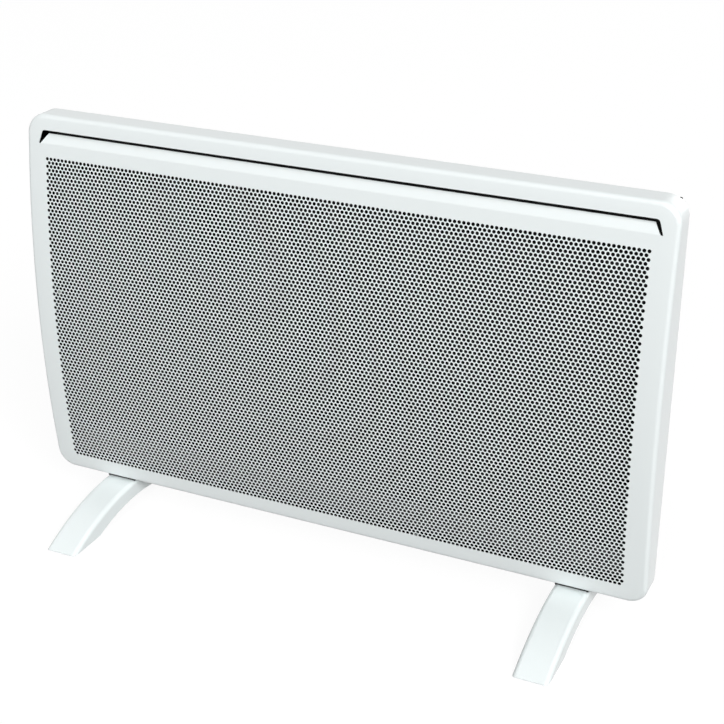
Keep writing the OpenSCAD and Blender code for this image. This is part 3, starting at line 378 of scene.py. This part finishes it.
for bend_r, bend_turn in ((fold_r, fold_turn), (sweep_r, sweep_turn)):
    bend_centre = bend_start + bend_r * Vector((0, math.cos(lean), -math.sin(lean)))
    bpy.ops.mesh.spin(steps=bend_steps, angle=bend_turn, center=bend_centre, axis=(1, 0, 0))
    lean += bend_turn
    bend_start = bend_centre - bend_r * Vector((0, math.cos(lean), -math.sin(lean)))
bpy.ops.object.mode_set(mode="OBJECT")
flap_top_z = max(v.co.z for v in flap.data.vertices)
for v in flap.data.vertices:
    v.co.x *= 1 - (v.co.z - fold_z) / (flap_top_z - fold_z) * (1 - top_half / fold_half)
if flap.data.polygons[0].normal.y > 0:
    flap.data.flip_normals()
flap.data.materials.append(enamel)
# The flap's inside takes the black of painted shade
flap.data.materials.append(shade_black)
finish_with(flap, "SOLIDIFY", thickness=flap_t, offset=-1, use_even_offset=True, material_offset=1)
smooth(flap)
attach(flap, "heater")
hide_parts("front_casing")

# Screen
# The casing's front itself, punched with about 12,500 staggered holes of 3.8 mm, a size that matches the
# photograph's tone. Each hole is an octagon of that area in its own cell of sheet. The cells are repeated
# along a row and down a band of rows, and the band is then bowed.
hole_d = 3.8 * MM
screen_t = 0.3 * MM
octagon_r = hole_d / 2 * math.sqrt(math.pi / (2 * math.sqrt(2)))


def repeat(piece, count, step):
    """Repeats a piece by a step and welds the copies where they meet."""
    finish_with(piece, "ARRAY", count=count, use_relative_offset=False, use_constant_offset=True,
                constant_offset_displace=step, use_merge_vertices=True, merge_threshold=weld)


def punched_row(count, z):
    """A row of cells with a hole in each, centred on the screen."""
    first_x = -(count - 1) * hole_pitch / 2
    bpy.ops.object.select_all(action="DESELECT")
    bpy.ops.mesh.primitive_circle_add(vertices=8, radius=octagon_r, location=(first_x, front_y, z),
                                      rotation=(math.pi / 2, 0, 0))
    row = bpy.context.object
    bpy.ops.object.transform_apply(location=True, rotation=True, scale=True)
    bpy.ops.object.mode_set(mode="EDIT")
    bpy.ops.mesh.select_all(action="SELECT")
    bpy.ops.mesh.extrude_edges_move()
    mesh = bmesh.from_edit_mesh(row.data)
    # The outer ring goes to the corners of the cell and to the middles of its sides
    for v in mesh.verts:
        if v.select:
            v.co.x = first_x + round((v.co.x - first_x) / octagon_r) * hole_pitch / 2
            v.co.z = z + round((v.co.z - z) / octagon_r) * row_pitch / 2
    bmesh.update_edit_mesh(row.data)
    bpy.ops.object.mode_set(mode="OBJECT")
    repeat(row, count, (hole_pitch, 0, 0))
    return row


def screen_band(name, top_z, pairs):
    """A band of the screen: pairs of a full row over a shifted one, whose ends are plain."""
    full = punched_row(columns, top_z - row_pitch / 2)
    shifted = punched_row(columns - 1, top_z - 1.5 * row_pitch)
    only(shifted)
    bpy.ops.object.mode_set(mode="EDIT")
    for side in (-1, 1):
        end = side * (screen_w - hole_pitch) / 2
        pick(shifted, "edges", lambda e: all(abs(v.co.x - end) < weld for v in e.verts))
        bpy.ops.mesh.extrude_region_move(TRANSFORM_OT_translate={"value": (side * hole_pitch / 2, 0, 0)})
    bpy.ops.object.mode_set(mode="OBJECT")
    full.select_set(True)
    bpy.context.view_layer.objects.active = full
    bpy.ops.object.join()
    full.name = name
    repeat(full, pairs, (0, 0, -pair_pitch))
    bpy.ops.object.mode_set(mode="EDIT")
    bpy.ops.mesh.select_all(action="SELECT")
    bpy.ops.mesh.remove_doubles(threshold=weld)
    bpy.ops.mesh.normals_make_consistent(inside=False)
    bpy.ops.object.mode_set(mode="OBJECT")
    if full.data.polygons[0].normal.y > 0:
        full.data.flip_normals()
    for v in full.data.vertices:
        v.co.y = front_y + bow_depth(v.co.z)
    full.data.materials.append(enamel)
    # The back of the screen and the walls of its holes take the black of painted shade
    full.data.materials.append(shade_black)
    finish_with(full, "SOLIDIFY", thickness=screen_t, offset=-1, material_offset=1, material_offset_rim=1)
    smooth(full)
    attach(full, "heater")
    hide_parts("front_casing")


band_top = screen_top_z
for number, pairs in enumerate(band_pairs, start=1):
    screen_band(f"screen_band_{number}", band_top, pairs)
    band_top -= pairs * pair_pitch


# Back panel and its screws
# A steel sheet with four pressed beads, screwed to the casing's lip with ten pan head screws. It is powder
# coated pale grey outside, and black inside as painted shade.
def dress(finish, *names):
    """Gives CAD nodes a finish in place of the plain ones that they came with."""
    for name in names:
        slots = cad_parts[name].data.materials
        slots.clear()
        slots.append(finish)


# Powder coat is a little duller and rougher than the enamel, with a texture about 1 mm across. Black is
# painted as shade where it looks forwards into the casing. It is pale where the Y of its normal is above
# this
painted_shade_below = -0.3
powder, tree, shader, spot = new_finish("pale_powder_coat", "#d9dddd", Roughness=0.5)
facing = add_node(tree, "ShaderNodeSeparateXYZ", links={0: spot.node.outputs["Normal"]})
unshaded_face = add_node(tree, "ShaderNodeMath", {"operation": "GREATER_THAN"}, {1: painted_shade_below},
                   {0: facing.outputs["Y"]})
hue = add_node(tree, "ShaderNodeMix", {"data_type": "RGBA"}, {6: linear("#0b0b0c"), 7: linear("#d9dddd")},
               {0: unshaded_face.outputs[0]})
sand = add_node(tree, "ShaderNodeTexNoise", inputs={"Scale": 1 / (1 * MM), "Detail": 2.0},
                links={"Vector": spot})
bump = add_node(tree, "ShaderNodeBump", inputs={"Strength": 0.3, "Distance": 0.08 * MM},
                links={"Height": sand.outputs["Fac"]})
tree.links.new(hue.outputs[2], shader.inputs["Base Color"])
tree.links.new(bump.outputs["Normal"], shader.inputs["Normal"])
dress(powder, "back_panel")

# Zinc plating is a bright, slightly blue metal that clouds unevenly over a few millimetres
zinc, tree, shader, spot = new_finish("bright_zinc_plating", "#c3c8cb", Metallic=1.0, Roughness=0.35)
cloud = add_node(tree, "ShaderNodeTexNoise", inputs={"Scale": 1 / (3 * MM), "Detail": 2.0},
                 links={"Vector": spot})
hue = add_node(tree, "ShaderNodeValToRGB", links={"Fac": cloud.outputs["Fac"]})
hue.color_ramp.elements[0].color = linear("#aeb4b9")
hue.color_ramp.elements[1].color = linear("#cfd2d2")
dull = add_node(tree, "ShaderNodeMapRange", inputs={"To Min": 0.28, "To Max": 0.45},
                links={"Value": cloud.outputs["Fac"]})
tree.links.new(hue.outputs["Color"], shader.inputs["Base Color"])
tree.links.new(dull.outputs[0], shader.inputs["Roughness"])
dress(zinc, "back_screws")

# Heating plate and its rod
# A ribbed aluminium plate, anodised black, with a sheathed rod bent into four passes behind it. Clips hold
# the rod, riveted through the plate, and the rod's cold ends carry ceramic beads and threaded pins.

# Black anodising is matt and dark, with faint rolling lines, 1 mm apart and fifty times as long
anodised, tree, shader, spot = new_finish("black_anodised_aluminium", "#070708", Roughness=0.8,
                                          Specular_IOR_Level=0.2)
along = add_node(tree, "ShaderNodeMapping", inputs={"Scale": (0.02, 1, 1)}, links={"Vector": spot})
rolled = add_node(tree, "ShaderNodeTexNoise", inputs={"Scale": 1 / (1 * MM), "Detail": 2.0},
                  links={"Vector": along.outputs[0]})
hue = add_node(tree, "ShaderNodeValToRGB", links={"Fac": rolled.outputs["Fac"]})
hue.color_ramp.elements[0].color = linear("#050506")
hue.color_ramp.elements[1].color = linear("#0a0a0b")
tree.links.new(hue.outputs["Color"], shader.inputs["Base Color"])
# The rivets are black like the plate, and their black also stands in for the shade behind the screen
dress(anodised, "radiant_plate", "clip_rivets")

# A heating rod's sheath oxidises from brown to blue grey after its first hours of heat
sheath, tree, shader, spot = new_finish("heat_tinted_steel_sheath", "#5a5350", Metallic=1.0, Roughness=0.45)
heat = add_node(tree, "ShaderNodeTexNoise", inputs={"Scale": 1 / (25 * MM), "Detail": 2.0},
                links={"Vector": spot})
hue = add_node(tree, "ShaderNodeValToRGB", links={"Fac": heat.outputs["Fac"]})
hue.color_ramp.elements[0].position = 0.35
hue.color_ramp.elements[0].color = linear("#6e5a45")
hue.color_ramp.elements[1].position = 0.65
hue.color_ramp.elements[1].color = linear("#4a505c")
tree.links.new(hue.outputs["Color"], shader.inputs["Base Color"])
dress(sheath, "heating_rod")
dress(zinc, "rod_clips")

# Glazed steatite is off-white, smooth and a little uneven in tone
steatite, tree, shader, spot = new_finish("glazed_steatite", "#e9e4d7", Roughness=0.25, Coat_Weight=0.5)
fleck = add_node(tree, "ShaderNodeTexNoise", inputs={"Scale": 1 / (1.5 * MM), "Detail": 3.0},
                 links={"Vector": spot})
hue = add_node(tree, "ShaderNodeValToRGB", links={"Fac": fleck.outputs["Fac"]})
hue.color_ramp.elements[0].color = linear("#ded7c6")
hue.color_ramp.elements[1].color = linear("#f0ece2")
tree.links.new(hue.outputs["Color"], shader.inputs["Base Color"])
dress(steatite, "rod_seals", "ceramic_spacers")

# Turned steel is bright, with rings from the tool, drawn coarser than they are so that they show
turned, tree, shader, spot = new_finish("turned_bright_steel", "#c8cbce", Metallic=1.0, Roughness=0.22)
rings = add_node(tree, "ShaderNodeTexWave", {"bands_direction": "X"},
                 {"Scale": 1 / (4 * MM), "Distortion": 1.0}, {"Vector": spot})
bump = add_node(tree, "ShaderNodeBump", inputs={"Strength": 0.2, "Distance": 0.02 * MM},
                links={"Height": rings.outputs["Fac"]})
tree.links.new(bump.outputs["Normal"], shader.inputs["Normal"])
dress(turned, "rod_terminals")

# Reflector tray and its mat
# A folded steel tray behind the plate, filled with pressed mineral wool that lies against the back panel. It
# is painted black as shade, like the casing's inside, because nothing pale shows through the screen.
# Painted shade: the tray is black
dress(shade_black, "reflector_tray")

# Mineral wool is pale yellow felt: short fibres, drawn thicker than they are so that they show
wool, tree, shader, spot = new_finish("pressed_mineral_wool", "#d2c48c", Roughness=1.0)
along = add_node(tree, "ShaderNodeMapping", inputs={"Scale": (0.25, 1, 1)}, links={"Vector": spot})
fibre = add_node(tree, "ShaderNodeTexNoise", inputs={"Scale": 1 / (0.8 * MM), "Detail": 4.0},
                 links={"Vector": along.outputs[0]})
hue = add_node(tree, "ShaderNodeValToRGB", links={"Fac": fibre.outputs["Fac"]})
hue.color_ramp.elements[0].position = 0.3
hue.color_ramp.elements[0].color = linear("#a3935a")
hue.color_ramp.elements[1].position = 0.7
hue.color_ramp.elements[1].color = linear("#e3d9ae")
bump = add_node(tree, "ShaderNodeBump", inputs={"Strength": 0.8, "Distance": 0.5 * MM},
                links={"Height": fibre.outputs["Fac"]})
tree.links.new(hue.outputs["Color"], shader.inputs["Base Color"])
tree.links.new(bump.outputs["Normal"], shader.inputs["Normal"])
dress(wool, "insulation_mat")

# Brackets that carry the plate
# A folded steel bracket at each end, with three tabs, painted black as shade like the casing's inside.
# Screws with black heads clamp the plate to the tabs over ceramic spacers, with zinc plated nuts behind.
# Painted shade: the brackets are black
dress(shade_black, "left_bracket", "right_bracket")
dress(zinc, "element_nuts")

# Black oxide on steel is near black, with a low metallic sheen
oxide, tree, shader, spot = new_finish("black_oxide_steel", "#26272a", Metallic=1.0, Roughness=0.45)
cloud = add_node(tree, "ShaderNodeTexNoise", inputs={"Scale": 1 / (2 * MM), "Detail": 2.0},
                 links={"Vector": spot})
dull = add_node(tree, "ShaderNodeMapRange", inputs={"To Min": 0.38, "To Max": 0.6},
                links={"Value": cloud.outputs["Fac"]})
tree.links.new(dull.outputs[0], shader.inputs["Roughness"])
# The plate's screws are black oxide, and their black also stands in for the shade behind the screen
dress(oxide, "element_screws")

# Overheat cut-out and wiring
# A bimetal disc in a brown moulding on the tray. Sleeved leads run through a rubber grommet to the control
# box, and a striped earth lead runs from a brass stud.

# Phenolic moulding is brown and glossy, with a faint marbling
phenolic, tree, shader, spot = new_finish("brown_phenolic_moulding", "#4b2a1a", Roughness=0.3)
marble = add_node(tree, "ShaderNodeTexNoise", inputs={"Scale": 1 / (4 * MM), "Detail": 3.0},
                  links={"Vector": spot})
hue = add_node(tree, "ShaderNodeValToRGB", links={"Fac": marble.outputs["Fac"]})
hue.color_ramp.elements[0].color = linear("#3c2013")
hue.color_ramp.elements[1].color = linear("#5d3723")
tree.links.new(hue.outputs["Color"], shader.inputs["Base Color"])
dress(phenolic, "thermal_cutout")

# Silicone-coated glass sleeving, black and matt as painted shade behind the screen, shows its braid every
# 0.7 mm
sleeving, tree, shader, spot = new_finish("black_sleeving_painted_shade", "#121213", Roughness=0.6)
braid = add_node(tree, "ShaderNodeTexVoronoi", inputs={"Scale": 1 / (0.7 * MM)}, links={"Vector": spot})
bump = add_node(tree, "ShaderNodeBump", inputs={"Strength": 0.4, "Distance": 0.1 * MM},
                links={"Height": braid.outputs["Distance"]})
tree.links.new(bump.outputs["Normal"], shader.inputs["Normal"])
# Painted shade: the leads' sleeving is black
dress(sleeving, "element_leads")

# Earth wire is green, with a yellow stripe along its upper side, where the Z of its normal is above this
yellow_above = 0.5
striped, tree, shader, spot = new_finish("green_and_yellow_wire", "#3f7d2c", Roughness=0.4)
facing = add_node(tree, "ShaderNodeSeparateXYZ", links={0: spot.node.outputs["Normal"]})
stripe = add_node(tree, "ShaderNodeMath", {"operation": "GREATER_THAN"}, {1: yellow_above},
                  {0: facing.outputs["Z"]})
hue = add_node(tree, "ShaderNodeMix", {"data_type": "RGBA"}, {6: linear("#3f7d2c"), 7: linear("#d9c92e")},
               {0: stripe.outputs[0]})
tree.links.new(hue.outputs[2], shader.inputs["Base Color"])
dress(striped, "earth_lead")

# Brass is warm yellow and bright, with slight tarnish
brass, tree, shader, spot = new_finish("turned_brass", "#c39a45", Metallic=1.0, Roughness=0.28)
tarnish = add_node(tree, "ShaderNodeTexNoise", inputs={"Scale": 1 / (2 * MM), "Detail": 2.0},
                   links={"Vector": spot})
hue = add_node(tree, "ShaderNodeValToRGB", links={"Fac": tarnish.outputs["Fac"]})
hue.color_ramp.elements[0].color = linear("#a8823a")
hue.color_ramp.elements[1].color = linear("#d4ad5a")
tree.links.new(hue.outputs["Color"], shader.inputs["Base Color"])
dress(brass, "earth_stud")

# Rubber is matt charcoal, with a fine dust in its skin
rubber, tree, shader, spot = new_finish("moulded_black_rubber", "#111112", Roughness=0.8)
skin = add_node(tree, "ShaderNodeTexNoise", inputs={"Scale": 1 / (0.6 * MM), "Detail": 3.0},
                links={"Vector": spot})
hue = add_node(tree, "ShaderNodeValToRGB", links={"Fac": skin.outputs["Fac"]})
hue.color_ramp.elements[0].color = linear("#0c0c0d")
hue.color_ramp.elements[1].color = linear("#1b1b1d")
tree.links.new(hue.outputs["Color"], shader.inputs["Base Color"])
dress(rubber, "lead_grommet")

# Control box
# A base screwed to the back panel and a deep cover over it, both moulded in black ABS. Three screws hold the
# cover. The power switch is set into its side, and a rubber inlet for the cord into its underside.

# Moulded ABS is black and matt, with a spark-eroded grain of about 0.5 mm that breaks its highlights up
grained, tree, shader, spot = new_finish("grained_black_abs", "#0b0b0c", Roughness=0.65,
                                         Specular_IOR_Level=0.2)
grain = add_node(tree, "ShaderNodeTexNoise", inputs={"Scale": 1 / (0.5 * MM), "Detail": 2.0},
                 links={"Vector": spot})
dull = add_node(tree, "ShaderNodeMapRange", inputs={"To Min": 0.6, "To Max": 0.75},
                links={"Value": grain.outputs["Fac"]})
bump = add_node(tree, "ShaderNodeBump", inputs={"Strength": 0.4, "Distance": 0.06 * MM},
                links={"Height": grain.outputs["Fac"]})
tree.links.new(dull.outputs[0], shader.inputs["Roughness"])
tree.links.new(bump.outputs["Normal"], shader.inputs["Normal"])
dress(grained, "control_base", "control_cover", "switch_body")
dress(zinc, "base_screws")
dress(oxide, "cover_screws")
dress(rubber, "cord_inlet")

# Thermostat
# A capillary thermostat held in the cover by the nut on its bush. The knob is pushed on to the flat of its
# spindle, and a strip of white foil in a groove in its face is its pointer.

# Heat-proof polyester is cream and dull. The terminal block is moulded in it too
polyester, tree, shader, spot = new_finish("cream_polyester_moulding", "#e2dccb", Roughness=0.45)
speckle = add_node(tree, "ShaderNodeTexNoise", inputs={"Scale": 1 / (0.8 * MM), "Detail": 3.0},
                   links={"Vector": spot})
hue = add_node(tree, "ShaderNodeValToRGB", links={"Fac": speckle.outputs["Fac"]})
hue.color_ramp.elements[0].color = linear("#d6cfbb")
hue.color_ramp.elements[1].color = linear("#ebe6d9")
tree.links.new(hue.outputs["Color"], shader.inputs["Base Color"])
dress(polyester, "thermostat_body", "terminal_block")
dress(zinc, "thermostat_nut")
dress(turned, "thermostat_spindle")

# The gloss of the knob and the switch's rocker is above the box's, from handling and a polished mould
knob_black, tree, shader, spot = new_finish("satin_black_abs", "#17171a", Roughness=0.3)
rub = add_node(tree, "ShaderNodeTexNoise", inputs={"Scale": 1 / (5 * MM), "Detail": 2.0},
               links={"Vector": spot})
dull = add_node(tree, "ShaderNodeMapRange", inputs={"To Min": 0.24, "To Max": 0.38},
                links={"Value": rub.outputs["Fac"]})
tree.links.new(dull.outputs[0], shader.inputs["Roughness"])
dress(knob_black, "thermostat_knob", "power_rocker")

# White hot-stamped foil is satin, with a slight wear that dulls it in patches
foil, tree, shader, spot = new_finish("white_stamped_foil", "#e9ebea", Roughness=0.35)
wear = add_node(tree, "ShaderNodeTexNoise", inputs={"Scale": 1 / (0.7 * MM), "Detail": 2.0},
                links={"Vector": spot})
dull = add_node(tree, "ShaderNodeMapRange", inputs={"To Min": 0.3, "To Max": 0.45},
                links={"Value": wear.outputs["Fac"]})
tree.links.new(dull.outputs[0], shader.inputs["Roughness"])

# The pointer is made along Y from the knob's axis, then turned to the groove and laid just over its floor
knob_low, knob_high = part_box("thermostat_knob")
knob_middle = (knob_low + knob_high) / 2
groove_turn = math.radians(135)
groove_d = 0.6 * MM
pointer_t = 0.3 * MM
pointer_l = 4.6 * MM
pointer_w = 1.1 * MM
pointer_out = 7.4 * MM
pointer_lift = 0.16 * MM
bpy.ops.object.select_all(action="DESELECT")
bpy.ops.mesh.primitive_cube_add(size=1)
pointer = bpy.context.object
pointer.name = "knob_pointer"
pointer.scale = (pointer_t, pointer_l, pointer_w)
pointer.location = (0, pointer_out, 0)
bpy.ops.object.transform_apply(location=True, rotation=True, scale=True)
pointer.rotation_euler = (groove_turn, 0, 0)
pointer.location = (knob_high.x - groove_d + pointer_lift, knob_middle.y, knob_middle.z)
bpy.ops.object.transform_apply(location=True, rotation=True, scale=True)
pointer.data.materials.append(foil)
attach(pointer, "knob")

# Pilot lamp
# A neon lamp with a glass bulb behind a domed amber lens. The lens is moulded in acrylic and pushed into
# the control box's cover.

# Polished amber acrylic is clear and deep orange
amber, tree, shader, spot = new_finish("polished_amber_acrylic", "#e0661a", Roughness=0.08,
                                       Transmission_Weight=0.5, IOR=1.49)
swirl = add_node(tree, "ShaderNodeTexNoise", inputs={"Scale": 1 / (2 * MM), "Detail": 1.0},
                 links={"Vector": spot})
hue = add_node(tree, "ShaderNodeValToRGB", links={"Fac": swirl.outputs["Fac"]})
hue.color_ramp.elements[0].color = linear("#d4540f")
hue.color_ramp.elements[1].color = linear("#ee8433")
tree.links.new(hue.outputs["Color"], shader.inputs["Base Color"])
dress(amber, "pilot_lens")

# Lamp glass is clear, with the faint warm cloud of the electrodes behind it
lamp_glass, tree, shader, spot = new_finish("clear_lamp_glass", "#f0e0cc", Roughness=0.05,
                                            Transmission_Weight=0.8, IOR=1.5)
cloud = add_node(tree, "ShaderNodeTexNoise", inputs={"Scale": 1 / (3 * MM), "Detail": 1.0},
                 links={"Vector": spot})
hue = add_node(tree, "ShaderNodeValToRGB", links={"Fac": cloud.outputs["Fac"]})
hue.color_ramp.elements[0].color = linear("#e3cdb4")
hue.color_ramp.elements[1].color = linear("#f6ece0")
tree.links.new(hue.outputs["Color"], shader.inputs["Base Color"])
dress(lamp_glass, "pilot_lamp")

# Feet
# One hollow arch each, moulded in glossy white ABS and screwed up through a rubber saddle into an anchor
# plate in the casing. A rubber sole is let in under each end.

# Polished moulding: the feet mirror the casing and the sky faintly, and their rounded edges shine
gloss, tree, shader, spot = new_finish("polished_white_abs", "#ecf3f3", Roughness=0.1, IOR=1.42)
flow = add_node(tree, "ShaderNodeTexNoise", inputs={"Scale": 1 / (30 * MM), "Detail": 1.0},
                links={"Vector": spot})
dull = add_node(tree, "ShaderNodeMapRange", inputs={"To Min": 0.03, "To Max": 0.06},
                links={"Value": flow.outputs["Fac"]})
tree.links.new(dull.outputs[0], shader.inputs["Roughness"])
dress(gloss, "left_foot", "right_foot")
# The saddle pads' black rubber also stands in for the shade in the gap under the casing
dress(rubber, "saddle_pads", "sole_pads")
dress(zinc, "foot_screws", "anchor_plates")
